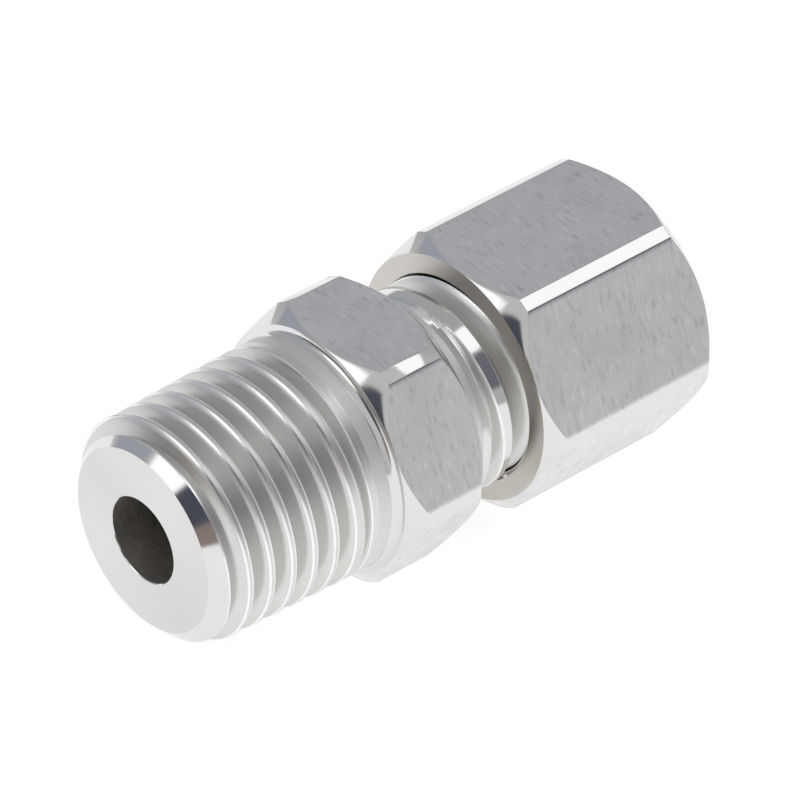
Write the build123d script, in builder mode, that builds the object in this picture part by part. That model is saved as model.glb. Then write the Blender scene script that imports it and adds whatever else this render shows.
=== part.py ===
"""Compression fitting that holds a straight metal sheathed probe in a threaded port.

Three turned pieces share one axis. The fitting body screws into the port with a tapered
pipe thread, the compression nut screws onto the body, and the ferrule between them is
squeezed onto the probe, which runs through all three.

The axis is +X, from the port end to the nut. The origin is on the axis, at the face of
the port end. +Z is up, and the fitting lies on a flat of each hexagon. All sizes are in
millimetres.
"""

import os
from math import atan, cos, degrees, radians, sqrt, tan

from build123d import *

# Probe and the hole it runs through
probe_diameter = 4.7625
probe_clearance = 0.08
bore_chamfer = 0.2

# Hexagon bar that the body and the nut are turned from, sized by the thinner wall it leaves
nut_wall = 1.144
port_wall = 0.428
corner_trim = 0.249
hex_chamfer = 0.88

# Port end: tapered pipe thread, 18 turns to the inch, crests cut flat
nose_chamfer = 1.223
port_thread_diameter = 12.85
port_thread_taper = 1 / 16
port_thread_pitch = 25.4 / 18
port_thread_crest = 0.29
port_thread_root = 0.08
port_thread_lead = 0.617
port_thread_margin = 0.195
port_thread_runout = 0.75
port_blank_length = 9.3
port_neck_relief = 0.076
port_end_length = 11.71

# Body hexagon
body_hex_length = 5.42

# Nut end: neck, then the thread for the nut at its crests, outside the ferrule's seat
seat_wall = 1.82
nut_neck_relief = 0.29
nut_neck_length = 1.75
nut_thread_length = 8.32
nut_thread_chamfer = 0.6
neck_step = 0.15

# Flanks of the port thread's groove, from the plane across the axis
flank_angle = 30.0
cutter_overrun = 0.25

# Ferrule, and the cone seat for it
ferrule_wall = 1.545
ferrule_length = 6.0
ferrule_seated_depth = 2.9
ferrule_cone_length = 2.7
ferrule_rear_land = 0.545
seat_half_angle = 12.0
seat_depth = 4.6
seat_clearance = 0.05

# Compression nut
nut_length = 12.04
nut_thread_clearance = 0.08
nut_cavity_depth = 7.87

# Slopes
seat_slope = tan(radians(seat_half_angle))
seat_offset = seat_clearance * sqrt(1 + seat_slope**2)
flank_slope = tan(radians(flank_angle))

# The ferrule's ring fills the space between the probe and its seat and the nut's shoulder
bore_radius = probe_diameter / 2 + probe_clearance
ferrule_radius = bore_radius + ferrule_wall
ferrule_rear_chamfer = ferrule_wall - ferrule_rear_land

# Stations along the axis
hex_front = port_end_length
hex_rear = hex_front + body_hex_length
nut_thread_start = hex_rear + nut_neck_length
body_end = nut_thread_start + nut_thread_length
seat_bottom = body_end - seat_depth
ferrule_front = body_end - ferrule_seated_depth
ferrule_cone_end = ferrule_front + ferrule_cone_length
ferrule_rear = ferrule_front + ferrule_length
nut_shoulder = ferrule_rear - ferrule_rear_chamfer
nut_front = nut_shoulder - nut_cavity_depth
nut_rear = nut_front + nut_length


def seat_radius(station):
    """Radius of the body's cone seat at a station along the axis."""
    return ferrule_radius + seat_offset + (station - ferrule_cone_end) * seat_slope


def port_crest_radius(station):
    """Crest radius of the tapered port thread at a station along the axis."""
    return (port_thread_diameter + station * port_thread_taper) / 2


def groove_sweep(pitch, start, turns, first_turn, radius, rise, profile):
    """Solid swept by a groove's section along a right-hand helix on the axis.

    start is the station of the helix where it begins, first_turn the turn it begins at,
    counted from the top, radius its radius there and rise the radius it gains for each
    millimetre along the axis. profile lists the section's corners, each as its distance
    along the axis from the helix and its distance outside it.
    """
    cone = degrees(atan(rise))
    slant_pitch = pitch * sqrt(1 + rise**2)
    with BuildLine() as helix:
        Helix(slant_pitch, turns * pitch, radius, (start, 0, 0), (1, 0, 0), cone)
    path = helix.edges()[0].rotate(Axis.X, 360 * first_turn)
    section = Plane(origin=path @ 0, x_dir=(1, 0, 0), z_dir=path % 0)
    outward = 1 if section.to_local_coords(Vector(start, 0, 0)).Y < 0 else -1
    with BuildPart() as groove:
        with BuildSketch(section):
            with BuildLine():
                Polyline(*[(along, outward * out) for along, out in profile], close=True)
            make_face()
        sweep(path=path, is_frenet=True)
    return groove.part


# Radii from the seat out to the hexagon's corners
seat_mouth_radius = seat_radius(body_end)
nut_thread_radius = seat_mouth_radius + seat_wall
nut_neck_radius = nut_thread_radius - nut_neck_relief
nut_bore_radius = nut_thread_radius + nut_thread_clearance
port_blank_radius = port_crest_radius(port_blank_length)
port_neck_radius = port_blank_radius - port_neck_relief
flat_radius = max(nut_bore_radius + nut_wall, port_blank_radius + port_wall)
corner_radius = flat_radius / cos(radians(30)) - corner_trim
hex_face_radius = corner_radius - hex_chamfer

# Port thread: groove at full depth, then a run-out that climbs out of the metal
port_groove_width = port_thread_pitch - port_thread_crest
port_groove_depth = (port_groove_width - port_thread_root) / 2 / flank_slope
port_groove_top = port_groove_width / 2 + cutter_overrun * flank_slope
port_groove = [
    (-port_groove_top, cutter_overrun),
    (port_groove_top, cutter_overrun),
    (port_thread_root / 2, -port_groove_depth),
    (-port_thread_root / 2, -port_groove_depth),
]
port_rise = port_thread_taper / 2
port_runout_start = port_blank_length - port_thread_margin
port_turns = (port_runout_start + port_thread_lead) / port_thread_pitch
port_climb = (port_groove_depth + cutter_overrun) / (port_thread_runout * port_thread_pitch)
port_cut = groove_sweep(
    port_thread_pitch,
    -port_thread_lead,
    port_turns,
    0,
    port_crest_radius(-port_thread_lead),
    port_rise,
    port_groove,
)
port_runout_cut = groove_sweep(
    port_thread_pitch,
    port_runout_start,
    port_thread_runout,
    port_turns,
    port_crest_radius(port_runout_start),
    port_rise + port_climb,
    port_groove,
)

# Fitting body: turned from hexagon bar, with the hexagon left in the middle
nose_radius = port_crest_radius(nose_chamfer) - nose_chamfer
cove_size = hex_face_radius - port_neck_radius
cove_inset = cove_size * (1 - cos(radians(45)))

with BuildPart() as fitting_body:
    with BuildSketch(Plane.YZ):
        RegularPolygon(radius=flat_radius, side_count=6, major_radius=False)
    extrude(amount=body_end)
    with BuildSketch(Plane.XY):
        with BuildLine():
            Polyline(
                (0, bore_radius),
                (0, nose_radius),
                (nose_chamfer, port_crest_radius(nose_chamfer)),
                (port_blank_length, port_blank_radius),
                (port_blank_length + neck_step, port_neck_radius),
                (hex_front - cove_size, port_neck_radius),
                (hex_front - cove_inset, port_neck_radius + cove_inset),
                (hex_front, hex_face_radius),
                (hex_front + hex_chamfer, corner_radius),
                (hex_rear - hex_chamfer, corner_radius),
                (hex_rear, hex_face_radius),
                (hex_rear, nut_neck_radius),
                (nut_thread_start, nut_neck_radius),
                (nut_thread_start + neck_step, nut_thread_radius),
                (body_end - nut_thread_chamfer, nut_thread_radius),
                (body_end, nut_thread_radius - nut_thread_chamfer),
                (body_end, seat_mouth_radius),
                (seat_bottom, seat_radius(seat_bottom)),
                (seat_bottom, bore_radius),
                close=True,
            )
        make_face()
    revolve(axis=Axis.X, mode=Mode.INTERSECT)
    add(port_cut, mode=Mode.SUBTRACT)
    add(port_runout_cut, mode=Mode.SUBTRACT)

# Ferrule: a ring with a long cone that enters the body's seat, and a cone for the nut
with BuildPart() as ferrule:
    with BuildSketch(Plane.XY):
        with BuildLine():
            Polyline(
                (ferrule_front, bore_radius),
                (ferrule_front, seat_radius(ferrule_front) - seat_offset),
                (ferrule_cone_end, ferrule_radius),
                (ferrule_rear - ferrule_rear_chamfer, ferrule_radius),
                (ferrule_rear, ferrule_radius - ferrule_rear_chamfer),
                (ferrule_rear, bore_radius),
                close=True,
            )
        make_face()
    revolve(axis=Axis.X)

# Compression nut: hexagon along its whole length, bored from the front
shoulder_radius = ferrule_radius + seat_clearance * sqrt(2)
shoulder_depth = shoulder_radius - bore_radius

with BuildPart() as compression_nut:
    with BuildSketch(Plane.YZ.offset(nut_front)):
        RegularPolygon(radius=flat_radius, side_count=6, major_radius=False)
    extrude(amount=nut_length)
    with BuildSketch(Plane.XY):
        with BuildLine():
            Polyline(
                (nut_front, nut_bore_radius),
                (nut_front, hex_face_radius),
                (nut_front + hex_chamfer, corner_radius),
                (nut_rear - hex_chamfer, corner_radius),
                (nut_rear, hex_face_radius),
                (nut_rear, bore_radius + bore_chamfer),
                (nut_rear - bore_chamfer, bore_radius),
                (nut_shoulder + shoulder_depth, bore_radius),
                (nut_shoulder, shoulder_radius),
                (nut_shoulder, nut_bore_radius),
                close=True,
            )
        make_face()
    revolve(axis=Axis.X, mode=Mode.INTERSECT)

# Labels and files
os.makedirs("parts", exist_ok=True)
fitting_body.part.label = "fitting_body"
ferrule.part.label = "ferrule"
compression_nut.part.label = "compression_nut"
export_step(fitting_body.part, "parts/fitting_body.step")
export_step(ferrule.part, "parts/ferrule.step")
export_step(compression_nut.part, "parts/compression_nut.step")
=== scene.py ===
"""Dressed model of a compression fitting for a straight metal sheathed probe.

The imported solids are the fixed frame. Their fitting body and compression nut are replaced by
finely made copies that carry both threads, the small edge rounds and the finishes of turned
stainless steel. The ferrule keeps its solid and gets a finish.

The axis is +X. Angles run round it from the top (+Z) towards -Y, and all sizes are in
millimetres until a mesh is made, which is in metres.
"""

from __future__ import annotations

import logging
import math
from dataclasses import dataclass, field
from enum import Enum

import bmesh
import bpy
import numpy as np
from mathutils import Matrix, Vector

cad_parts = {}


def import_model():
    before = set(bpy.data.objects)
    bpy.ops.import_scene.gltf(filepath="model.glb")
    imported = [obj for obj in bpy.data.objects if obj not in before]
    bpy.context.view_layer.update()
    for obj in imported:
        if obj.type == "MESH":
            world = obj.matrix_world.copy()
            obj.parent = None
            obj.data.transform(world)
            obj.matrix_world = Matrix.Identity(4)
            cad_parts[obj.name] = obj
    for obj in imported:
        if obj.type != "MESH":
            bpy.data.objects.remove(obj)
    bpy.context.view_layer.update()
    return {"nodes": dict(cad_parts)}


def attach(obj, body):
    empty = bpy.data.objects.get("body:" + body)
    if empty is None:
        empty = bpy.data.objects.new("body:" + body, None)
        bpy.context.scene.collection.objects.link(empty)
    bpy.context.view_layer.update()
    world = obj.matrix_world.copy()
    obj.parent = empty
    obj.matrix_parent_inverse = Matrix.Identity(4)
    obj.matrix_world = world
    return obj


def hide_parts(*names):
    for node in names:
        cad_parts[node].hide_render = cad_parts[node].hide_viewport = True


LOG = logging.getLogger("fitting")
MM = 0.001

# Degrees from the middle of one flat of the hexagon to the middle of the next
SIXTH = 60.0

# The flanks of both threads lean 30 degrees from the plane across the axis
FLANK = math.tan(math.radians(30.0))

# Rows of points down each flank of a groove, and from one groove to the next
FLANK_ROWS = 3
GROOVE_ROWS = 2 * FLANK_ROWS + 5

# The rows over a crest are numbered 1 to 4, the next groove's first row has the number
# GROOVE_ROWS and all others have 0. A face's mean row number then lies in these ranges on
# the two lips of a crest and on the land between them.
LIP_ROWS = ((1.3, 1.7), (7.3, 7.7))
LAND_ROWS = (2.3, 3.7)


def linear(hex_colour: str) -> tuple[float, float, float, float]:
    """Turns an sRGB hex colour into a linear one.

    Args:
        hex_colour: six hex digits, with or without a leading mark.

    Returns:
        Red, green, blue and an opaque alpha.
    """
    digits = hex_colour.lstrip("#")
    channels = [int(digits[i : i + 2], 16) / 255 for i in (0, 2, 4)]
    red, green, blue = (c / 12.92 if c <= 0.04045 else ((c + 0.055) / 1.055) ** 2.4 for c in channels)
    return red, green, blue, 1.0


def add_node(
    tree: bpy.types.NodeTree, kind: str, links: dict | None = None, **settings: object
) -> bpy.types.Node:
    """Adds a node with its settings, its input values and its links.

    Args:
        tree: the tree to add to.
        kind: the node's type name.
        links: for each input, by name or place, a socket to link from or a value to set.
        settings: properties of the node itself.

    Returns:
        The new node.
    """
    node = tree.nodes.new(kind)
    for name, value in settings.items():
        setattr(node, name, value)
    for key, value in (links or {}).items():
        target = node.inputs[key]
        if isinstance(value, Field):
            value = value.socket
        if isinstance(value, bpy.types.NodeSocket):
            tree.links.new(value, target)
        else:
            target.default_value = value
    return node


class Field:
    """A number that nodes work out, which takes the usual operators."""

    def __init__(self, tree: bpy.types.NodeTree, socket: bpy.types.NodeSocket) -> None:
        """Keeps the tree and the socket that carries the number."""
        self.tree = tree
        self.socket = socket

    def math(self, operation: str, *others: Field | float) -> Field:
        """Applies one math operation, with this number first.

        Args:
            operation: the math node's operation.
            others: the further operands.

        Returns:
            The result.
        """
        links = dict(enumerate([self, *others]))
        node = add_node(self.tree, "ShaderNodeMath", links, operation=operation)
        return Field(self.tree, node.outputs[0])

    def __add__(self, other: Field | float) -> Field:
        """This number plus another."""
        return self.math("ADD", other)

    __radd__ = __add__

    def __sub__(self, other: Field | float) -> Field:
        """This number less another."""
        return self.math("SUBTRACT", other)

    def __rsub__(self, other: float) -> Field:
        """Another number less this one."""
        return self.math("MULTIPLY", -1.0).math("ADD", other)

    def __mul__(self, other: Field | float) -> Field:
        """This number times another."""
        return self.math("MULTIPLY", other)

    __rmul__ = __mul__

    def __truediv__(self, other: Field | float) -> Field:
        """This number over another."""
        return self.math("DIVIDE", other)

    def low(self, other: Field | float) -> Field:
        """The lower of this number and another."""
        return self.math("MINIMUM", other)

    def high(self, other: Field | float) -> Field:
        """The higher of this number and another."""
        return self.math("MAXIMUM", other)

    def share(self, start: Field | float, span: float = 1.0) -> Field:
        """How far this number has gone over a span from its start, from 0 to 1."""
        moved = (self - start) / span if span != 1.0 else self - start
        return moved.high(0.0).low(1.0)


@dataclass(frozen=True)
class Columns:
    """Angles at which every turned and hexagonal surface has its points.

    The flats and the turned corners of the hexagon get whole numbers of steps, so their
    edges lie on columns.
    """

    flat_half: float
    flat_steps: int = 20
    corner_steps: int = 8

    @property
    def per_side(self) -> int:
        """Columns in one sixth of a turn."""
        return 2 * self.flat_steps + self.corner_steps

    @property
    def count(self) -> int:
        """Columns in a full turn."""
        return 6 * self.per_side

    def angles(self) -> np.ndarray:
        """Works out the angle of each column, without the one that closes the turn.

        Returns:
            The angles in degrees.
        """
        step = np.arange(self.count) % self.per_side
        side = np.arange(self.count) // self.per_side
        return side * SIXTH + self.within(step)

    def is_corner(self, column: int) -> bool:
        """Whether the strip after a column lies on a turned corner of the hexagon."""
        return 0 <= column % self.per_side - self.flat_steps < self.corner_steps

    def within(self, step: np.ndarray | Field) -> np.ndarray | Field:
        """Angle past the middle of the last flat, for a column's step within its side.

        Args:
            step: the step, as numbers or as a field of nodes.

        Returns:
            The angle in degrees.
        """
        flat_rate = self.flat_half / self.flat_steps
        corner_rate = (SIXTH - 2 * self.flat_half) / self.corner_steps
        if isinstance(step, Field):
            first = step.low(float(self.flat_steps)) * flat_rate
            corner = (step - float(self.flat_steps)).high(0.0).low(float(self.corner_steps))
            corner = corner * corner_rate
            last = (step - float(self.flat_steps + self.corner_steps)).high(0.0) * flat_rate
            return first + corner + last
        first = np.minimum(step, self.flat_steps) * flat_rate
        corner = np.clip(step - self.flat_steps, 0, self.corner_steps) * corner_rate
        last = np.maximum(step - self.flat_steps - self.corner_steps, 0) * flat_rate
        return first + corner + last


class Side(Enum):
    """Whether a thread is cut on the outside of a piece or in its bore."""

    OUTSIDE = 1.0
    INSIDE = -1.0


@dataclass(frozen=True)
class Thread:
    """A helical thread on a band of a piece, with its run-in and run-out.

    Stations are distances from the band's start, which lies on a chamfer of 45 degrees. They
    run along the axis, or against it where along is -1. Grooves are numbered along the band
    from first, and groove 0 has its centre at the station lead where the angle is 0. From
    runout_from, in turns from there, the groove climbs out over runout_turns. From end_from,
    the crest goes over to end_radius. Edge is the width of a crest's lips, and dip is how far
    the middle of a crest lies below them.
    """

    name: str
    side: Side
    along: float
    origin: float
    length: float
    pitch: float
    lead: float
    turn_sign: float
    crest_radius: float
    taper: float
    start_radius: float
    depth: float
    root: float
    runout_from: float
    runout_turns: float
    end_from: float
    end_radius: float
    first: int
    grooves: int
    edge: float = 0.06
    dip: float = 0.012


class ThreadMaker:
    """Makes a threaded band with Geometry Nodes, by the rule of its helix.

    The band is a grid bent round the axis. Each column of points crosses every groove with
    the same rows, and where a groove is absent its rows are drawn together at one point.
    """

    # Last share of a run-out in which the flat root of a groove closes
    ROOT_CLOSES = 0.02

    # A groove is absent where its edges have crossed by more than this, in millimetres
    LEAST_CROSSING = 0.001

    # A lip takes no more than this share of its crest or of its groove
    LIP_SHARE = 0.3

    # A crest has all of its dip from this width on, in millimetres
    DIP_WIDTH = 0.2

    # Points closer than this are one, in millimetres
    MERGE = 0.0002

    def __init__(self, columns: Columns, finish: bpy.types.Material) -> None:
        """Keeps the columns, and the finish that a band has before it is dressed."""
        self.columns = columns
        self.finish = finish

    def values(self, thread: Thread) -> dict[str, float]:
        """Lists the values of a thread's tree.

        Args:
            thread: the thread's sizes.

        Returns:
            The values by input name.
        """
        sign = thread.side.value
        return {
            "Pitch": thread.pitch,
            "Lead": thread.lead,
            "Turn Sign": thread.turn_sign,
            "Crest Radius": sign * thread.crest_radius,
            "Taper": thread.taper,
            "Start Radius": sign * thread.start_radius,
            "Depth": thread.depth,
            "Root": thread.root,
            "Runout From": thread.runout_from,
            "Runout Turns": thread.runout_turns,
            "End From": thread.end_from,
            "End Radius": sign * thread.end_radius,
            "First Groove": float(thread.first),
            "Length": thread.length,
            "Origin": thread.origin,
            "Along": thread.along,
            "Side": sign,
            "Edge": thread.edge,
            "Dip": thread.dip,
        }

    def groove(self, inputs: dict[str, Field], count: Field, turn: Field) -> dict[str, Field]:
        """Works out where one groove's corners lie at one angle.

        Args:
            inputs: the tree's inputs by name.
            count: the groove's number.
            turn: the angle as a share of a turn.

        Returns:
            Its centre, root radius, edges and root corners.
        """
        phase = count + turn * inputs["Turn Sign"]
        centre = inputs["Lead"] + inputs["Pitch"] * phase
        fade = 1.0 - ((phase - inputs["Runout From"]) / inputs["Runout Turns"]).high(0.0).low(1.0)
        depth = inputs["Depth"] * fade
        crest = inputs["Crest Radius"] + inputs["Taper"] * centre
        half_root = inputs["Root"] * 0.5 * fade.share(0.0, self.ROOT_CLOSES)
        half_top = half_root + depth * FLANK
        root_radius = crest - depth
        steep = 1.0 / FLANK
        left = centre - half_top
        right = centre + half_top
        left_root = centre - half_root
        right_root = centre + half_root
        left_cut = (crest + left * steep - inputs["Start Radius"]) / (1.0 + steep)
        root_cut = root_radius - inputs["Start Radius"]
        right_cut = (inputs["Start Radius"] - root_radius + right_root * steep) / (steep - 1.0)
        begin = left.high(left_cut).high(root_cut)
        reach = right.low(right_cut)
        present = 1.0 - (begin - reach).math("GREATER_THAN", self.LEAST_CROSSING)
        end = reach.high(begin) * present
        begin = (begin * present).high(0.0).low(inputs["Length"])
        end = end.high(begin).low(inputs["Length"])
        return {
            "centre": centre,
            "root_radius": root_radius,
            "half_root": half_root,
            "begin": begin,
            "end": end,
            "left_root": left_root.high(begin).low(end),
            "right_root": right_root.high(begin).low(end),
        }

    def crest(
        self, inputs: dict[str, Field], here: dict[str, Field], after: dict[str, Field]
    ) -> dict[str, Field]:
        """Works out the crest between a groove and the next one.

        Args:
            inputs: the tree's inputs by name.
            here: the groove before the crest.
            after: the groove after it.

        Returns:
            Where its lips and its middle lie, and how much of the dip it has. Its middle
            moves to the edge of the chamfer where the crest has that.
        """
        width = after["begin"] - here["end"]
        widest = inputs["Edge"].low(width * self.LIP_SHARE)
        lip = widest.low((here["end"] - here["begin"]) * self.LIP_SHARE)
        lip_after = widest.low((after["end"] - after["begin"]) * self.LIP_SHARE)
        corner = (inputs["Crest Radius"] - inputs["Start Radius"]) / (1.0 - inputs["Taper"])
        has_corner = corner.math("GREATER_THAN", here["end"]) * corner.math("LESS_THAN", after["begin"])
        middle = here["end"] + width * 0.5
        middle = middle + (corner - middle) * has_corner
        past_chamfer = middle.math("GREATER_THAN", corner)
        return {
            "groove_begins": here["begin"] + lip * FLANK,
            "groove_ends": here["end"] - lip * FLANK,
            "lip_before": here["end"] + lip,
            "middle": middle,
            "lip_after": after["begin"] - lip_after,
            "dips": past_chamfer * (1.0 - has_corner) * width.share(0.0, self.DIP_WIDTH),
        }

    def station(self, here: dict[str, Field], crest: dict[str, Field], place: Field) -> Field:
        """Works out a row's station, from stop to stop through a groove and over its crest.

        Args:
            here: the groove.
            crest: the crest after it.
            place: the row's number from the groove's first one.

        Returns:
            The station.
        """
        start = crest["groove_begins"]
        stops = [
            (start, 0.0),
            (here["left_root"].high(start), float(FLANK_ROWS)),
            (here["right_root"].high(start), 1.0),
            (crest["groove_ends"].high(start), float(FLANK_ROWS)),
            (crest["lip_before"], 1.0),
            (crest["middle"], 1.0),
            (crest["lip_after"], 1.0),
        ]
        station = start
        passed = 0.0
        for (before, _), (stop, span) in zip(stops, stops[1:]):
            station = station + (stop - before) * place.share(passed, span)
            passed += span
        return station

    def radius(
        self, inputs: dict[str, Field], here: dict[str, Field], place: Field, station: Field, inside: Field
    ) -> Field:
        """Works out the radius of the band's surface, without the dip of its crests.

        Args:
            inputs: the tree's inputs by name.
            here: the groove that the row belongs to.
            place: the row's number from the groove's first one.
            station: the row's station.
            inside: 1 between the band's first and last row, and 0 on them.

        Returns:
            The radius.
        """
        cone = inputs["Crest Radius"] + inputs["Taper"] * station
        ending = (station - inputs["End From"]) / (inputs["Length"] - inputs["End From"])
        cone = cone + (inputs["End Radius"] - cone) * ending.high(0.0).low(1.0)
        envelope = cone.low(inputs["Start Radius"] + station)
        away = ((station - here["centre"]).math("ABSOLUTE") - here["half_root"]).high(0.0)
        cut = here["root_radius"] + away / FLANK
        in_groove = place.math("LESS_THAN", 2.0 * FLANK_ROWS + 1.5) * inside
        return envelope + (cut.low(envelope) - envelope) * in_groove

    def tree(self, thread: Thread) -> bpy.types.NodeTree:
        """Builds the node tree of a threaded band.

        Args:
            thread: the thread, for the names of its sizes and its number of grooves.

        Returns:
            The tree, with one named input for each size.
        """
        tree = bpy.data.node_groups.new(thread.name + "_rule", "GeometryNodeTree")
        tree.interface.new_socket("Geometry", in_out="INPUT", socket_type="NodeSocketGeometry")
        for name in self.values(thread):
            tree.interface.new_socket(name, in_out="INPUT", socket_type="NodeSocketFloat")
        tree.interface.new_socket("Geometry", in_out="OUTPUT", socket_type="NodeSocketGeometry")
        entry = add_node(tree, "NodeGroupInput")
        inputs = {name: Field(tree, entry.outputs[name]) for name in self.values(thread)}
        rows = thread.grooves * GROOVE_ROWS + 2
        grid = add_node(
            tree,
            "GeometryNodeMeshGrid",
            {"Size X": 1.0, "Size Y": 1.0, "Vertices X": self.columns.count + 1, "Vertices Y": rows},
        )
        index = Field(tree, add_node(tree, "GeometryNodeInputIndex").outputs[0])
        column = (index / float(rows)).math("FLOOR")
        row = index - column * float(rows)
        is_first = row.math("LESS_THAN", 0.5)
        is_last = row.math("GREATER_THAN", float(rows) - 1.5)
        inner = (row - 1.0).high(0.0)
        local = (inner / float(GROOVE_ROWS)).math("FLOOR")
        place = inner - local * float(GROOVE_ROWS)
        side = (column / float(self.columns.per_side)).math("FLOOR")
        step = column - side * float(self.columns.per_side)
        degrees = side * SIXTH + self.columns.within(step)
        turn = degrees / 360.0
        count = local + inputs["First Groove"]
        here = self.groove(inputs, count, turn)
        after = self.groove(inputs, count + 1.0, turn)
        crest = self.crest(inputs, here, after)
        station = self.station(here, crest, place).high(0.0).low(inputs["Length"])
        station = station * (1.0 - is_first)
        station = station + (inputs["Length"] - station) * is_last
        inside = (1.0 - is_first) * (1.0 - is_last)
        radius = self.radius(inputs, here, place, station, inside)
        is_middle = place.math("COMPARE", 2.0 * FLANK_ROWS + 3.0, 0.5)
        radius = (radius - inputs["Dip"] * is_middle * crest["dips"]) * inputs["Side"]
        angle = degrees * (math.pi / 180.0)
        spot = add_node(
            tree,
            "ShaderNodeCombineXYZ",
            {
                "X": (inputs["Origin"] + inputs["Along"] * station) * MM,
                "Y": radius * angle.math("SINE") * -MM,
                "Z": radius * angle.math("COSINE") * MM,
            },
        )
        bent = add_node(
            tree, "GeometryNodeSetPosition", {"Geometry": grid.outputs["Mesh"], "Position": spot.outputs[0]}
        )
        number = (place - 2.0 * FLANK_ROWS).high(0.0) + place.math("LESS_THAN", 0.5) * float(GROOVE_ROWS)
        kept = add_node(
            tree,
            "GeometryNodeStoreNamedAttribute",
            {"Geometry": bent.outputs[0], "Name": "row", "Value": number},
            data_type="FLOAT",
            domain="POINT",
        )
        merged = add_node(
            tree, "GeometryNodeMergeByDistance", {"Geometry": kept.outputs[0], "Distance": self.MERGE * MM}
        )
        real = add_node(tree, "GeometryNodeRealizeInstances", {"Geometry": merged.outputs[0]})
        dressed = add_node(
            tree, "GeometryNodeSetMaterial", {"Geometry": real.outputs[0], "Material": self.finish}
        )
        add_node(tree, "NodeGroupOutput", {"Geometry": dressed.outputs[0]})
        return tree

    def make(self, thread: Thread) -> bpy.types.Mesh:
        """Makes the band of a thread as a plain mesh.

        Args:
            thread: the thread's sizes.

        Returns:
            The mesh, open at both ends of the band.
        """
        carrier = bpy.data.objects.new(thread.name, bpy.data.meshes.new(thread.name))
        bpy.context.scene.collection.objects.link(carrier)
        tree = self.tree(thread)
        modifier = carrier.modifiers.new("rule", "NODES")
        modifier.node_group = tree
        values = self.values(thread)
        for item in tree.interface.items_tree:
            if item.name in values:
                modifier[item.identifier] = values[item.name]
        bpy.context.view_layer.update()
        graph = bpy.context.evaluated_depsgraph_get()
        mesh = bpy.data.meshes.new_from_object(carrier.evaluated_get(graph), depsgraph=graph)
        carrier.modifiers.remove(modifier)
        bpy.data.objects.remove(carrier)
        return mesh


@dataclass
class Ring:
    """One closed row of points round the axis, and the finish of the strip after it.

    On a hexagon, the strip's turned corners can have a finish of their own.
    """

    x: np.ndarray
    radius: np.ndarray
    finish: Finish
    corner_finish: Finish | None = None


@dataclass
class Shell:
    """Strips between rings of points round the axis, which make a turned surface."""

    columns: Columns
    rings: list[Ring] = field(default_factory=list)

    def add(
        self,
        x: float | np.ndarray,
        radius: float | np.ndarray,
        finish: Finish,
        corner_finish: Finish | None = None,
    ) -> None:
        """Adds a ring at a station and a radius, the same all round or one for each column."""
        ones = np.ones(self.columns.count)
        self.rings.append(Ring(ones * x, ones * radius, finish, corner_finish))

    def add_all(self, rings: list[tuple[float, float, Finish]]) -> None:
        """Adds plain rings in order, each by its station, its radius and its finish."""
        for x, radius, finish in rings:
            self.add(x, radius, finish)

    def arc(
        self, centre: tuple[float, float], size: float, start: float, end: float, steps: int, finish: Finish
    ) -> None:
        """Adds rings along an arc in the half plane of station and radius.

        Args:
            centre: the arc's centre, as station and radius.
            size: its radius.
            start: its first angle in degrees, from the direction of the axis outwards.
            end: its last angle.
            steps: how many rings it gets after the first.
            finish: the finish of its strips.
        """
        for turn in np.radians(np.linspace(start, end, steps + 1)):
            self.add(centre[0] + size * math.cos(turn), centre[1] + size * math.sin(turn), finish)

    def into(self, work: bmesh.types.BMesh, finishes: dict[Finish, int]) -> None:
        """Adds the strips to a mesh that is being made.

        Args:
            work: the mesh.
            finishes: the material place of each finish.
        """
        angles = np.radians(self.columns.angles())
        rows = []
        for ring in self.rings:
            points = np.stack([ring.x, -ring.radius * np.sin(angles), ring.radius * np.cos(angles)], 1)
            rows.append([work.verts.new(point) for point in points * MM])
        for ring, low, high in zip(self.rings, rows, rows[1:]):
            corner_finish = ring.corner_finish or ring.finish
            for i in range(self.columns.count):
                j = (i + 1) % self.columns.count
                face = work.faces.new((low[i], low[j], high[j], high[i]))
                finish = corner_finish if self.columns.is_corner(i) else ring.finish
                face.material_index = finishes[finish]


@dataclass(frozen=True)
class Hexagon:
    """The hexagon bar that both pieces are turned from.

    Its corners are turned down to a radius, and each end has a chamfer of 45 degrees that
    leaves a round face. Edge is how far the small break between a chamfer and the bar
    reaches to each side, and break_share the most of a chamfer that it takes.
    """

    flat_radius: float = 7.14388
    corner_radius: float = 8.0
    face_radius: float = 7.12
    edge: float = 0.035
    break_share: float = 0.4

    @property
    def flat_half(self) -> float:
        """Half the angle that a flat takes up, in degrees."""
        return math.degrees(math.acos(self.flat_radius / self.corner_radius))

    def outline(self, columns: Columns) -> np.ndarray:
        """Distance of the bar's surface from the axis at each column.

        Args:
            columns: the columns.

        Returns:
            The distances.
        """
        past = (columns.angles() + SIXTH / 2) % SIXTH - SIXTH / 2
        flat = self.flat_radius / np.cos(np.radians(past))
        return np.minimum(flat, self.corner_radius)

    def add_to(
        self, shell: Shell, front: float, rear: float, chamfer_finish: Finish, finish: Finish
    ) -> None:
        """Adds the bar's length with a chamfer at each end.

        Args:
            shell: the shell, which has come as far as the front face. It goes on from the
                rear chamfer to the rear face.
            front: station of the front face.
            rear: station of the rear face.
            chamfer_finish: the finish of the chamfers and of the turned corners.
            finish: the finish of the flats.
        """
        outline = self.outline(shell.columns)
        rise = outline - self.face_radius
        soft = np.minimum(self.edge, rise * self.break_share)
        shell.add(front, self.face_radius, chamfer_finish)
        shell.add(front + rise - soft, outline - soft, chamfer_finish)
        shell.add(front + rise + soft, outline, finish, chamfer_finish)
        shell.add(rear - rise - soft, outline, chamfer_finish)
        shell.add(rear - rise + soft, outline - soft, chamfer_finish)


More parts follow.
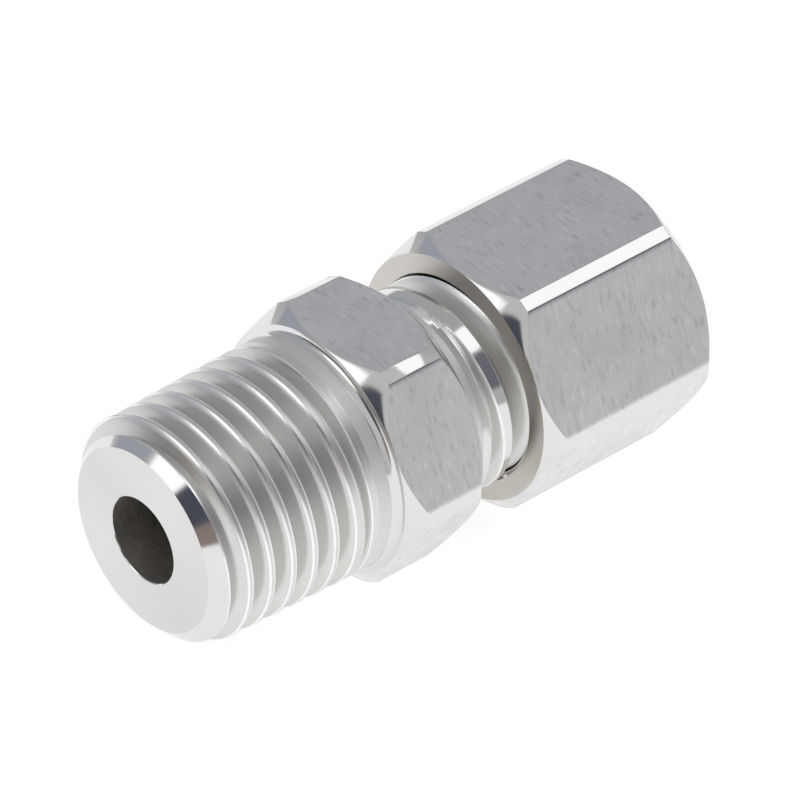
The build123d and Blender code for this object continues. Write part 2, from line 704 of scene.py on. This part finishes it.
@dataclass(frozen=True)
class SkyPatch:
    """A soft round patch of light or dark in the studio's surround.

    It has its full colour up to the inner angle from its centre and none from the outer one.
    """

    towards: tuple[float, float, float]
    inner: float
    outer: float
    colour: str
    strength: float = 1.0


@dataclass
class Studio:
    """Camera, floor and the soft surround that the steel mirrors."""

    # The camera's place and angles were fitted to the outlines in the photograph. Angles are
    # in degrees, and the focal length is in pixels of a frame that has frame_pixels across.
    azimuth: float = -43.702
    elevation: float = 39.366
    roll: float = 3.522
    distance: float = 352.7
    target: tuple[float, float, float] = (17.65, 0.0, 0.364)
    focal_pixels: float = 6690.0
    frame_pixels: float = 800.0
    sensor_width: float = 36.0
    clip: tuple[float, float] = (10.0, 20000.0)

    # The floor glows to the eye and less to the steel, so that its white stays plain
    floor_level: float = -7.144
    floor_half_size: float = 2000.0
    floor_colour: str = "#F5F5F5"
    floor_glow: float = 0.64
    floor_sheen: float = 0.55

    # The surround is a pale grey between its patches, which are laid over it in this order
    surround: str = "#D0D0CF"
    patches: tuple[SkyPatch, ...] = (
        # The dim side of the room, behind: the grey of the top flats and of the necks
        SkyPatch((0.5, 0.62, 0.55), 35, 65, "#B1B3B6"),
        # A paler wall on the near side: the grey of the flats that face it
        SkyPatch((0.6, -0.78, 0.1), 16, 40, "#C0C0C1"),
        # Cool grey on the far side: the left part of each front chamfer
        SkyPatch((-0.48, 0.81, 0.32), 16, 24, "#AAAEB6"),
        # Warm and dark grey, low beyond the port end
        SkyPatch((-0.95, 0.2, 0.05), 8, 26, "#928A80"),
        SkyPatch((-0.83, 0.54, 0.13), 8, 20, "#6C6E71"),
        # A lamp above the port end: the white patch of each front chamfer
        SkyPatch((-0.77, 0.25, 0.585), 13, 18, "#FFFFFF", 1.4),
        # A lamp above the nut: the white bands of the hexagons' corners
        SkyPatch((0.54, -0.2, 0.82), 11, 13, "#FFFFFF", 1.3),
        # Dark grey below that lamp: the dark part of the polished crest beside the nut
        SkyPatch((0.53, -0.66, 0.53), 15, 20, "#73757D"),
        # Warm grey and navy on the near side of the first lamp: the dark part of each chamfer
        SkyPatch((-0.835, -0.555, 0.075), 10, 17, "#93857F"),
        SkyPatch((-0.865, -0.26, 0.42), 13, 17, "#4E515B"),
    )

    def build(self) -> None:
        """Makes the camera, the world and the floor."""
        self.camera()
        self.world()
        self.floor()

    def camera(self) -> None:
        """Sets the camera at the photograph's angle."""
        azimuth, elevation, roll = (math.radians(a) for a in (self.azimuth, self.elevation, self.roll))
        back = Vector(
            (
                math.sin(azimuth) * math.cos(elevation),
                -math.cos(azimuth) * math.cos(elevation),
                math.sin(elevation),
            )
        )
        right = Vector((math.cos(azimuth), math.sin(azimuth), 0.0))
        up = back.cross(right)
        right, up = (
            math.cos(roll) * right + math.sin(roll) * up,
            -math.sin(roll) * right + math.cos(roll) * up,
        )
        data = bpy.data.cameras.new("camera")
        data.sensor_width = self.sensor_width
        data.lens = data.sensor_width * self.focal_pixels / self.frame_pixels
        data.clip_start, data.clip_end = (limit * MM for limit in self.clip)
        view = bpy.data.objects.new("camera", data)
        bpy.context.scene.collection.objects.link(view)
        place = (Vector(self.target) + back * self.distance) * MM
        view.matrix_world = Matrix.Translation(place) @ Matrix((right, up, back)).transposed().to_4x4()
        bpy.context.scene.camera = view

    def world(self) -> None:
        """Builds the surround from soft patches over a pale base."""
        world = bpy.data.worlds.new("studio")
        bpy.context.scene.world = world
        world.use_nodes = True
        tree = world.node_tree
        tree.nodes.clear()
        # In a world, Generated is the direction of the ray
        where = add_node(tree, "ShaderNodeTexCoord").outputs["Generated"]
        colour = add_node(tree, "ShaderNodeRGB").outputs[0]
        colour.default_value = linear(self.surround)
        for patch in self.patches:
            centre = Vector(patch.towards).normalized()
            near = add_node(tree, "ShaderNodeVectorMath", {0: where, 1: centre}, operation="DOT_PRODUCT")
            amount = add_node(
                tree,
                "ShaderNodeMapRange",
                {
                    "Value": near.outputs["Value"],
                    "From Min": math.cos(math.radians(patch.outer)),
                    "From Max": math.cos(math.radians(patch.inner)),
                },
                interpolation_type="SMOOTHSTEP",
            )
            tint = (*(channel * patch.strength for channel in linear(patch.colour)[:3]), 1.0)
            mixed = add_node(
                tree,
                "ShaderNodeMix",
                {"Factor": amount.outputs[0], "A": colour, "B": tint},
                data_type="RGBA",
            )
            colour = mixed.outputs["Result"]
        light = add_node(tree, "ShaderNodeBackground", {"Color": colour, "Strength": 1.0})
        plain = add_node(tree, "ShaderNodeBackground", {"Color": linear("#FFFFFF"), "Strength": 1.0})
        seen = add_node(tree, "ShaderNodeLightPath").outputs["Is Camera Ray"]
        both = add_node(tree, "ShaderNodeMixShader", {0: seen, 1: light.outputs[0], 2: plain.outputs[0]})
        add_node(tree, "ShaderNodeOutputWorld", {"Surface": both.outputs[0]})

    def floor(self) -> None:
        """Makes the plain pale floor under the fitting."""
        mesh = bpy.data.meshes.new("floor")
        size = self.floor_half_size * MM
        level = self.floor_level * MM
        mesh.from_pydata(
            [(-size, -size, level), (size, -size, level), (size, size, level), (-size, size, level)],
            [],
            [(0, 1, 2, 3)],
        )
        floor = bpy.data.objects.new("floor", mesh)
        bpy.context.scene.collection.objects.link(floor)
        material = bpy.data.materials.new("floor_paper")
        material.use_nodes = True
        tree = material.node_tree
        tree.nodes.clear()
        rays = add_node(tree, "ShaderNodeLightPath")
        direct = Field(tree, rays.outputs["Is Camera Ray"])
        seen = direct.high(Field(tree, rays.outputs["Is Glossy Ray"]))
        seen = seen.high(Field(tree, rays.outputs["Is Transmission Ray"]))
        matt = add_node(tree, "ShaderNodeBsdfDiffuse", {"Color": linear(self.floor_colour)})
        strength = direct * (self.floor_glow - self.floor_sheen) + self.floor_sheen
        glow = add_node(tree, "ShaderNodeEmission", {"Color": linear("#FFFFFF"), "Strength": strength})
        lit = add_node(tree, "ShaderNodeAddShader", {0: matt.outputs[0], 1: glow.outputs[0]})
        both = add_node(tree, "ShaderNodeMixShader", {0: seen, 1: matt.outputs[0], 2: lit.outputs[0]})
        add_node(tree, "ShaderNodeOutputMaterial", {"Surface": both.outputs[0]})
        mesh.materials.append(material)


@dataclass(frozen=True)
class Steel:
    """A finish of turned or drawn stainless steel.

    The colour is what the metal gives back and the roughness how wide it spreads it. Marks
    are the fine lines that a tool leaves round the axis, by their spacing and their depth in
    millimetres. Flecks are the short streaks across the axis of a bar that was drawn and
    left as it was, by how much they darken it and by their size in millimetres. Spread is
    how much wider turned steel mirrors along the axis than round it.
    """

    name: str
    colour: str
    roughness: float
    marks: float
    mark_depth: float
    flecks: float = 0.0
    fleck_length: float = 0.9
    fleck_width: float = 0.14
    spread: float = 0.0

    # Size in millimetres of the clouds in the sheen of a handled surface, and how much they
    # change the roughness and, times the strength of the flecks, the colour
    CLOUD = 2.6
    CLOUD_ROUGHNESS = 0.1
    CLOUD_SHARE = 1.2

    # Noise from which a fleck is dark or pale, how far it goes on to the full strength, and
    # how strong a pale fleck is beside a dark one
    DARK_FROM = 0.56
    DARK_RISE = 0.12
    PALE_FROM = 0.43
    PALE_RISE = 0.1
    PALE_SHARE = 0.6

    def noise(
        self, tree: bpy.types.NodeTree, where: bpy.types.NodeSocket, size: float, detail: float
    ) -> Field:
        """Adds noise of one size.

        Args:
            tree: the material's tree.
            where: the socket that gives the place.
            size: the size of its grains in millimetres.
            detail: how many finer octaves it has.

        Returns:
            The noise, about 0.5 in the middle.
        """
        links = {"Vector": where, "Scale": 1.0 / (size * MM), "Detail": detail, "Roughness": 0.6}
        return Field(tree, add_node(tree, "ShaderNodeTexNoise", links).outputs[0])

    def tint(
        self, tree: bpy.types.NodeTree, spot: tuple[Field, Field, Field], clouds: Field
    ) -> bpy.types.NodeSocket:
        """Colours the metal, with its flecks and clouds.

        Args:
            tree: the material's tree.
            spot: the place's three coordinates.
            clouds: the noise of the clouds.

        Returns:
            The socket that carries the colour.
        """
        x, y, z = spot
        ratio = self.fleck_length / self.fleck_width
        squeezed = add_node(tree, "ShaderNodeCombineXYZ", {"X": x * ratio, "Y": y, "Z": z})
        streaks = self.noise(tree, squeezed.outputs[0], self.fleck_length, 4.0)
        dark = (streaks - self.DARK_FROM).high(0.0).low(self.DARK_RISE) * (self.flecks / self.DARK_RISE)
        pale_strength = self.flecks * self.PALE_SHARE / self.PALE_RISE
        pale = (self.PALE_FROM - streaks).high(0.0).low(self.PALE_RISE) * pale_strength
        level = 1.0 - dark + pale + (clouds - 0.5) * self.flecks * self.CLOUD_SHARE
        tint = add_node(
            tree,
            "ShaderNodeVectorMath",
            {0: linear(self.colour)[:3], "Scale": level},
            operation="SCALE",
        )
        return tint.outputs[0]

    def material(self) -> bpy.types.Material:
        """Builds the finish.

        Returns:
            The material, in Object coordinates.
        """
        material = bpy.data.materials.new(self.name)
        material.use_nodes = True
        tree = material.node_tree
        tree.nodes.clear()
        where = add_node(tree, "ShaderNodeTexCoord").outputs["Object"]
        parts = add_node(tree, "ShaderNodeSeparateXYZ", {0: where})
        x, y, z = (Field(tree, parts.outputs[name]) for name in "XYZ")
        reach = (y * y + z * z).math("SQRT")
        section = add_node(tree, "ShaderNodeCombineXYZ", {"X": x, "Y": reach, "Z": 0.0})
        lines = self.noise(tree, section.outputs[0], self.marks, 3.0)
        clouds = self.noise(tree, where, self.CLOUD, 3.0)
        bump = add_node(
            tree,
            "ShaderNodeBump",
            {"Height": lines, "Strength": 1.0, "Distance": self.mark_depth * MM},
        )
        around = add_node(tree, "ShaderNodeCombineXYZ", {"X": 0.0, "Y": z * -1.0, "Z": y})
        tangent = add_node(
            tree,
            "ShaderNodeVectorTransform",
            {"Vector": around.outputs[0]},
            vector_type="VECTOR",
            convert_from="OBJECT",
            convert_to="WORLD",
        )
        steel = add_node(
            tree,
            "ShaderNodeBsdfPrincipled",
            {
                "Base Color": self.tint(tree, (x, y, z), clouds),
                "Metallic": 1.0,
                "Roughness": clouds * self.CLOUD_ROUGHNESS + (self.roughness - self.CLOUD_ROUGHNESS / 2),
                "Anisotropic": self.spread,
                "Tangent": tangent.outputs[0],
                "Normal": bump.outputs[0],
            },
        )
        add_node(tree, "ShaderNodeOutputMaterial", {"Surface": steel.outputs[0]})
        return material


class Finish(Enum):
    """The stainless steel finishes of the fitting.

    A finishing cut leaves lines 0.05 to 0.07 mm apart and about a micron deep, or less where
    it mirrors. They are a pixel or so apart in the render, so they show as sheen. A drill
    leaves coarser ones.
    """

    # Left by the thread tool: a satin light that runs wide along the axis
    TURNED = Steel("turned_steel", "#DFDEDC", 0.30, 0.05, 0.0012, spread=0.75)

    # Cut by a plunging tool: duller and more even than the threads beside it
    NECKED = Steel("plunge_turned_steel", "#E6E5E3", 0.42, 0.06, 0.0014, spread=0.8)

    # Cut with a fine feed until it mirrors: hard edged patches of white and dark
    BRIGHT = Steel("bright_turned_steel", "#DEDEDD", 0.10, 0.07, 0.0003, spread=0.3)

    # Pressed smooth by the thread tool's shoulders, with a near white colour as a painted highlight: a pale
    # line along each edge of a crest
    HIGHLIT_LIP = Steel("lip_steel_painted_highlight", "#F7F7F6", 0.26, 0.05, 0.0010, flecks=0.1)

    # Faced across the bar: a dull grey, made darker and warmer as painted shade of the dim gap between nut
    # and body
    FACED_AND_SHADED = Steel("faced_steel_painted_shade", "#CFCAC4", 0.30, 0.06, 0.0012)

    # Cold drawn bar as it came from the die: a soft grey with a grain of 0.09 mm and short
    # streaks. The real streaks are finer than a pixel, and are drawn 0.22 mm wide to show.
    DRAWN = Steel("drawn_bar_steel", "#E4E4E5", 0.38, 0.09, 0.0012, flecks=0.2, fleck_width=0.22)

    # Drilled and rough, with a darker colour as painted shade inside the bore, so that it is a dull dark
    # grey
    BORED_AND_SHADED = Steel("bored_steel_painted_shade", "#C4C0BC", 0.50, 0.12, 0.003, flecks=0.3)


class Piece:
    """A dressed piece, joined from threaded bands and turned shells."""

    # A face no further than this inside a band's largest radius lies on a crest
    CREST_DEPTH = 0.01

    # How far the axial part of a unit normal may be off where it names a direction
    NORMAL_SLACK = 0.02
    CHAMFER_NORMAL = math.sqrt(0.5)

    # Points closer than this are one, and edges shorter than the second go, in millimetres
    MERGE = 0.0005
    LEAST_EDGE = 0.0002

    # Edges are shaded hard from this many degrees, and along the bar from fewer
    HARD_ANGLE = 34.0
    BAR_ANGLE = 15.0

    def __init__(self, name: str, materials: dict[Finish, bpy.types.Material]) -> None:
        """Starts an empty piece.

        Args:
            name: the name that its object gets.
            materials: the material of each finish that it can take.
        """
        self.name = name
        self.materials = materials
        self.places = {finish: place for place, finish in enumerate(materials)}
        self.work = bmesh.new()

    def add_shell(self, shell: Shell) -> None:
        """Adds the strips of a shell."""
        shell.into(self.work, self.places)

    def add_band(self, mesh: bpy.types.Mesh, flank: Finish, crest: Finish) -> None:
        """Adds a threaded band with its finishes.

        The lips of its crests are burnished and get a pale colour as a painted highlight, and its chamfer
        of 45 degrees is bright.

        Args:
            mesh: the band.
            flank: the finish of its grooves.
            crest: the finish of its crests.
        """
        start = len(self.work.faces)
        self.work.from_mesh(mesh)
        self.work.normal_update()
        self.work.faces.ensure_lookup_table()
        layer = self.work.verts.layers.float.get("row")
        top = max(vert.co.yz.length for vert in mesh.vertices) - self.CREST_DEPTH * MM
        for face in self.work.faces[start:]:
            row = sum(vert[layer] for vert in face.verts) / len(face.verts)
            on_land = LAND_ROWS[0] < row < LAND_ROWS[1]
            finish = flank
            if any(low < row < high for low, high in LIP_ROWS):
                # The lips take the finish whose pale colour is a painted highlight
                finish = Finish.HIGHLIT_LIP
            elif on_land or face.calc_center_median().yz.length > top:
                off_chamfer = abs(abs(face.normal.x) - self.CHAMFER_NORMAL)
                finish = Finish.BRIGHT if off_chamfer < self.NORMAL_SLACK else crest
            face.material_index = self.places[finish]
        bpy.data.meshes.remove(mesh)

    def sharpen_bar(self, mesh: bpy.types.Mesh) -> None:
        """Keeps the shading hard across the bar's edges, which run along the axis.

        Args:
            mesh: the piece's mesh.
        """
        work = bmesh.new()
        work.from_mesh(mesh)
        work.normal_update()
        for edge in work.edges:
            is_level = all(abs(face.normal.x) < self.NORMAL_SLACK for face in edge.link_faces)
            if is_level and edge.calc_face_angle(0.0) > math.radians(self.BAR_ANGLE):
                edge.smooth = False
        work.to_mesh(mesh)
        work.free()

    def finish(self, body: str, node: str, slot: str) -> bpy.types.Object:
        """Closes the piece, shades it and puts it in the frame.

        Args:
            body: the body that it rides on.
            node: the node that it stands for.
            slot: the name of a material slot on the node that it stands for; not used.

        Returns:
            The finished piece.
        """
        bmesh.ops.remove_doubles(self.work, verts=self.work.verts, dist=self.MERGE * MM)
        bmesh.ops.dissolve_degenerate(self.work, edges=self.work.edges, dist=self.LEAST_EDGE * MM)
        bmesh.ops.recalc_face_normals(self.work, faces=self.work.faces)
        open_edges = sum(1 for edge in self.work.edges if not edge.is_manifold)
        mesh = bpy.data.meshes.new(self.name)
        self.work.to_mesh(mesh)
        self.work.free()
        for material in self.materials.values():
            mesh.materials.append(material)
        mesh.shade_smooth()
        mesh.set_sharp_from_angle(angle=math.radians(self.HARD_ANGLE))
        self.sharpen_bar(mesh)
        mesh.attributes.remove(mesh.attributes["row"])
        piece = bpy.data.objects.new(self.name, mesh)
        bpy.context.scene.collection.objects.link(piece)
        modifier = piece.modifiers.new("normals", "WEIGHTED_NORMAL")
        modifier.keep_sharp = True
        modifier.weight = 50
        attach(piece, body)
        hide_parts(node)
        LOG.info("%s: %d faces, %d open edges", self.name, len(mesh.polygons), open_edges)
        return piece


@dataclass(frozen=True)
class Fit:
    """Sizes that the body and the nut share, so that one runs on the other."""

    pitch: float = 1.75
    thread_start: float = 18.88
    bore_radius: float = 2.46125


@dataclass
class FittingBody:
    """The fitting body: port thread, hexagon, neck, nut thread and ferrule seat."""

    columns: Columns
    hexagon: Hexagon
    fit: Fit
    maker: ThreadMaker

    # Port thread: 18 turns to the inch, with a taper of 1 in 16 on its diameter
    nose_radius: float = 5.24
    port_pitch: float = 25.4 / 18
    port_crest_radius: float = 6.425
    port_taper: float = 1 / 32
    port_depth: float = 0.9016
    port_root: float = 0.08
    port_lead: float = -0.617
    port_runout: float = 9.105
    port_runout_turns: float = 0.62
    port_blank: float = 9.3
    port_band: float = 10.4

    # Neck, with a round cove up to the hexagon
    neck_radius: float = 6.6396
    cove_steps: int = 6
    hex_front: float = 11.71
    hex_rear: float = 17.13

    # Nut thread, which stops four turns on from the groove that its turns are counted from,
    # and its neck with a small fillet
    nut_neck_radius: float = 5.63
    neck_fillet: float = 0.12
    fillet_middle: tuple[float, float] = (0.04, 0.03)
    nut_thread_radius: float = 5.92
    nut_thread_chamfer: float = 0.6
    nut_thread_depth: float = 1.0392
    nut_thread_root: float = 0.19
    nut_thread_turns: int = 4
    nut_runout_turns: float = 0.40
    nut_runout_margin: float = 0.02
    nut_band_margin: float = 0.35
    neck_step: float = 0.05
    body_end: float = 27.2

    # Seat of the ferrule, and the bore with its broken edges
    seat_mouth_radius: float = 4.1
    seat_bottom: float = 22.6
    seat_bottom_radius: float = 3.1222
    seat_edge: float = 0.04
    seat_edge_rise: float = 0.008
    bore_edge: float = 0.05

    def port_thread(self) -> Thread:
        """Gives the tapered thread of the port end.

        Returns:
            Its sizes.
        """
        return Thread(
            name="port_thread",
            side=Side.OUTSIDE,
            along=1.0,
            origin=0.0,
            length=self.port_band,
            pitch=self.port_pitch,
            lead=self.port_lead,
            turn_sign=1.0,
            crest_radius=self.port_crest_radius,
            taper=self.port_taper,
            start_radius=self.nose_radius,
            depth=self.port_depth,
            root=self.port_root,
            runout_from=(self.port_runout - self.port_lead) / self.port_pitch,
            runout_turns=self.port_runout_turns,
            end_from=self.port_blank,
            end_radius=self.neck_radius,
            first=-1,
            grooves=10,
        )

    def nut_thread(self) -> Thread:
        """Gives the thread that the nut runs on, counted back from the body's end.

        Returns:
            Its sizes.
        """
        last = self.body_end - self.fit.thread_start
        return Thread(
            name="nut_thread",
            side=Side.OUTSIDE,
            along=-1.0,
            origin=self.body_end,
            length=last + self.nut_band_margin,
            pitch=self.fit.pitch,
            lead=last - self.nut_thread_turns * self.fit.pitch,
            turn_sign=-1.0,
            crest_radius=self.nut_thread_radius,
            taper=0.0,
            start_radius=self.nut_thread_radius - self.nut_thread_chamfer,
            depth=self.nut_thread_depth,
            root=self.nut_thread_root,
            runout_from=self.nut_thread_turns - self.nut_runout_turns - self.nut_runout_margin,
            runout_turns=self.nut_runout_turns,
            end_from=last + self.neck_step,
            end_radius=self.nut_neck_radius,
            first=-1,
            grooves=7,
        )

    def build(self, materials: dict[Finish, bpy.types.Material]) -> bpy.types.Object:
        """Makes the piece.

        Args:
            materials: the material of each finish.

        Returns:
            The finished piece.
        """
        piece = Piece("fitting_body_turned", materials)
        piece.add_band(self.maker.make(self.port_thread()), Finish.TURNED, Finish.TURNED)
        piece.add_band(self.maker.make(self.nut_thread()), Finish.TURNED, Finish.BRIGHT)
        piece.add_shell(self.middle())
        piece.add_shell(self.inside())
        return piece.finish("body", "fitting_body", "body_steel")

    def middle(self) -> Shell:
        """Draws the necks and the hexagon between the two threads.

        Returns:
            Their surface, from the port thread's band to the nut thread's.
        """
        shell = Shell(self.columns)
        shell.add(self.port_band, self.neck_radius, Finish.NECKED)
        face_radius = self.hexagon.face_radius
        cove = face_radius - self.neck_radius
        shell.arc((self.hex_front - cove, face_radius), cove, -90.0, 0.0, self.cove_steps, Finish.BRIGHT)
        self.hexagon.add_to(shell, self.hex_front, self.hex_rear, Finish.BRIGHT, Finish.DRAWN)
        along, out = self.fillet_middle
        shell.add_all(
            [
                (self.hex_rear, face_radius, Finish.NECKED),
                (self.hex_rear, self.nut_neck_radius + self.neck_fillet, Finish.NECKED),
                (self.hex_rear + along, self.nut_neck_radius + out, Finish.NECKED),
                (self.hex_rear + self.neck_fillet, self.nut_neck_radius, Finish.NECKED),
                (self.fit.thread_start - self.nut_band_margin, self.nut_neck_radius, Finish.NECKED),
            ]
        )
        return shell

    def inside(self) -> Shell:
        """Draws the end face, the ferrule's seat, the bore and the port end's face.

        Returns:
            Their surface, from the nut thread's band to the port thread's.
        """
        bore = self.fit.bore_radius
        seat_start = self.body_end - self.seat_edge
        shell = Shell(self.columns)
        shell.add_all(
            [
                (self.body_end, self.nut_thread_radius - self.nut_thread_chamfer, Finish.TURNED),
                (self.body_end, self.seat_mouth_radius + self.seat_edge, Finish.TURNED),
                (seat_start, self.seat_mouth_radius - self.seat_edge_rise, Finish.TURNED),
                (self.seat_bottom, self.seat_bottom_radius, Finish.TURNED),
                (self.seat_bottom, bore + self.bore_edge, Finish.TURNED),
                (self.seat_bottom - self.bore_edge, bore, Finish.BORED_AND_SHADED),
                (self.seat_bottom / 2, bore, Finish.BORED_AND_SHADED),
                (self.bore_edge, bore, Finish.BRIGHT),
                (0.0, bore + self.seat_edge, Finish.TURNED),
                (0.0, (bore + self.nose_radius) / 2, Finish.TURNED),
                (0.0, self.nose_radius, Finish.TURNED),
            ]
        )
        return shell


@dataclass
class CompressionNut:
    """The compression nut: hexagon, threaded cavity and the shoulder on the ferrule."""

    columns: Columns
    hexagon: Hexagon
    fit: Fit
    maker: ThreadMaker
    front: float = 21.43
    rear: float = 33.47
    shoulder: float = 29.3
    shoulder_radius: float = 4.0769
    bore_chamfer: float = 0.2

    # Thread in the cavity, and the relief behind it
    mouth_radius: float = 6.0
    minor_radius: float = 5.05
    root: float = 0.52
    runout_from: float = 3.1
    runout_turns: float = 0.3
    thread_band: float = 6.9
    end_margin: float = 0.05
    relief_step: float = 0.3

    def thread(self) -> Thread:
        """Gives the nut's own thread, whose grooves take the body's ridges.

        Returns:
            Its sizes.
        """
        ridge = self.fit.thread_start + self.fit.pitch / 2
        return Thread(
            name="nut_bore_thread",
            side=Side.INSIDE,
            along=1.0,
            origin=self.front,
            length=self.thread_band,
            pitch=self.fit.pitch,
            lead=ridge + self.fit.pitch - self.front,
            turn_sign=1.0,
            crest_radius=self.minor_radius,
            taper=0.0,
            start_radius=self.mouth_radius,
            depth=self.mouth_radius - self.minor_radius,
            root=self.root,
            runout_from=self.runout_from,
            runout_turns=self.runout_turns,
            end_from=self.thread_band - self.end_margin,
            end_radius=self.minor_radius,
            first=-2,
            grooves=7,
        )

    def build(self, materials: dict[Finish, bpy.types.Material]) -> bpy.types.Object:
        """Makes the piece.

        Args:
            materials: the material of each finish.

        Returns:
            The finished piece.
        """
        piece = Piece("compression_nut_turned", materials)
        piece.add_band(self.maker.make(self.thread()), Finish.TURNED, Finish.TURNED)
        piece.add_shell(self.outside_and_cavity())
        return piece.finish("nut", "compression_nut", "nut_steel")

    def outside_and_cavity(self) -> Shell:
        """Draws the front face, the hexagon, the rear face, the bore, the shoulder and the relief.

        Returns:
            Their surface, from one end of the thread's band to the other.
        """
        bore = self.fit.bore_radius
        face_radius = self.hexagon.face_radius
        shoulder_depth = self.shoulder_radius - bore
        relief = self.front + self.thread_band
        shell = Shell(self.columns)
        # The front face takes the finish whose darker, warmer colour is painted shade of the gap
        shell.add(self.front, self.mouth_radius, Finish.FACED_AND_SHADED)
        shell.add(self.front, (self.mouth_radius + face_radius) / 2, Finish.FACED_AND_SHADED)
        self.hexagon.add_to(shell, self.front, self.rear, Finish.BRIGHT, Finish.DRAWN)
        shell.add_all(
            [
                (self.rear, face_radius, Finish.TURNED),
                (self.rear, (bore + face_radius) / 2, Finish.TURNED),
                (self.rear, bore + self.bore_chamfer, Finish.BRIGHT),
                (self.rear - self.bore_chamfer, bore, Finish.BORED_AND_SHADED),
                (self.shoulder + shoulder_depth, bore, Finish.TURNED),
                (self.shoulder, self.shoulder_radius, Finish.TURNED),
                (self.shoulder, self.mouth_radius, Finish.TURNED),
                (relief + self.relief_step, self.mouth_radius, Finish.TURNED),
                (relief, self.minor_radius, Finish.TURNED),
            ]
        )
        return shell


def main() -> None:
    """Builds the studio and the pieces in order."""
    logging.basicConfig(level=logging.INFO, format="%(name)s: %(message)s")
    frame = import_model()
    bpy.context.scene.view_settings.view_transform = "Standard"
    Studio().build()
    materials = {finish: finish.value.material() for finish in Finish}
    hexagon = Hexagon()
    columns = Columns(flat_half=hexagon.flat_half)
    maker = ThreadMaker(columns, materials[Finish.TURNED])
    fit = Fit()
    FittingBody(columns, hexagon, fit, maker).build(materials)
    CompressionNut(columns, hexagon, fit, maker).build(materials)
    ferrule = frame["nodes"]["ferrule"]
    for slot in ferrule.material_slots:
        slot.material = materials[Finish.BRIGHT]
    LOG.info("ferrule: kept from the frame")


if __name__ == "__main__":
    main()
